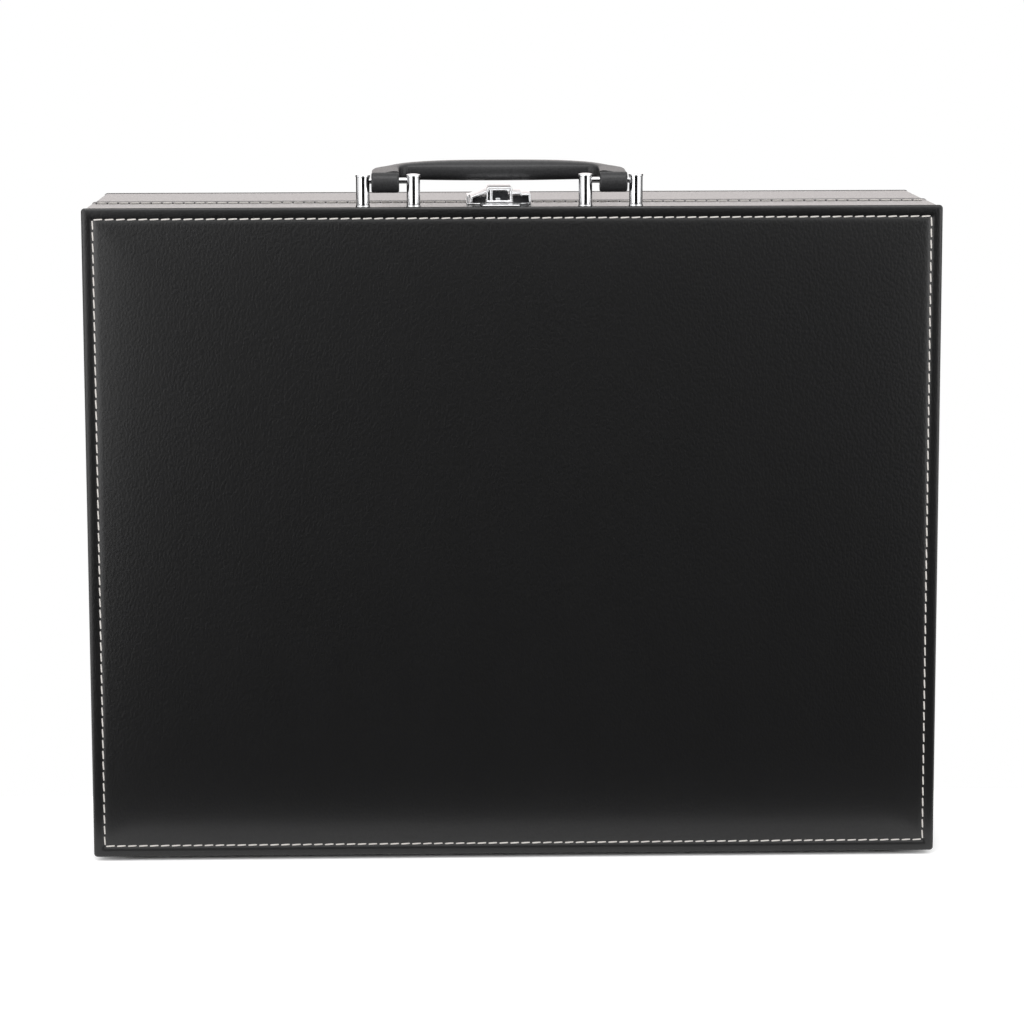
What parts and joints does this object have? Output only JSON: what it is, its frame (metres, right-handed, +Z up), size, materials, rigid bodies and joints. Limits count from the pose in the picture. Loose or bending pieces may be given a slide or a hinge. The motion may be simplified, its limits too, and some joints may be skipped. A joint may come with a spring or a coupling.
{
  "type": "mahjong case",
  "caption": "Hinged leatherette-covered case with stitched front, folding top handle on chrome posts, push latch and a tray of tile wells inside.",
  "frame": {"origin": "centre of the case's footprint on the floor, as it stands on its glides with the handle up", "axes": "+X along the width, +Y from the stitched front face to the back, +Z up to the handle"},
  "size_m": [0.4, 0.12, 0.3289],
  "materials": {
    "leatherette": "black pebbled leatherette",
    "wood_board": "raw fibreboard",
    "wood_rail": "planed softwood",
    "velvet": "short pile velvet",
    "flock": "flocked moulded tray",
    "foam": "open-cell foam",
    "chrome": "polished plating",
    "steel": "zinc plated",
    "button": "black gloss"
  },
  "bodies": {
    "base_half": {"front_cover": "leatherette", "front_board": "wood_board", "base_wall_cover": "leatherette", "base_rail_top": "wood_rail", "base_rail_bottom": "wood_rail", "base_rail_left": "wood_rail", "base_rail_right": "wood_rail", "base_lining": "velvet", "base_nails": "steel", "tray_bed": "foam", "tile_tray": "flock", "base_feet": "chrome", "handle_posts": "chrome", "handle_pins": "chrome", "post_plate": "steel", "post_screws": "steel", "latch_plate": "chrome", "latch_hood": "chrome", "latch_rivets": "steel", "button_spring": "steel", "base_hinge_leaves": "steel", "base_hinge_screws": "steel", "hinge_pins": "steel"},
    "handle": {"handle_core": "steel", "handle_bushes": "chrome", "handle_grip": "leatherette"},
    "latch_button": {"latch_button": "button"},
    "lid_half": {"back_cover": "leatherette", "back_board": "wood_board", "lid_wall_cover": "leatherette", "lid_rail_top": "wood_rail", "lid_rail_bottom": "wood_rail", "lid_rail_left": "wood_rail", "lid_rail_right": "wood_rail", "lid_lining": "velvet", "lid_nails": "steel", "lid_foam": "foam", "lid_pad": "velvet", "lid_feet": "chrome", "latch_hasp": "chrome", "hasp_rivets": "steel", "lid_hinge_leaves": "steel", "lid_hinge_screws": "steel"}
  },
  "joints": [
    {"name": "lid_hinge", "type": "hinge", "parent": "base_half", "child": "lid_half", "pos_m": [0, -0.009, 0.0024], "axis": [-1, 0, 0], "range_deg": [0, 105]},
    {"name": "handle_hinge", "type": "hinge", "parent": "base_half", "child": "handle", "pos_m": [-0.006, -0.045, 0.3214], "axis": [1, 0, 0], "range_deg": [0, 170]},
    {"name": "button_press", "type": "slide", "parent": "base_half", "child": "latch_button", "axis": [0, 1, 0], "range_m": [0, 0.0025], "stiffness_N_per_m": 200, "deforming": ["button_spring"]}
  ]
}
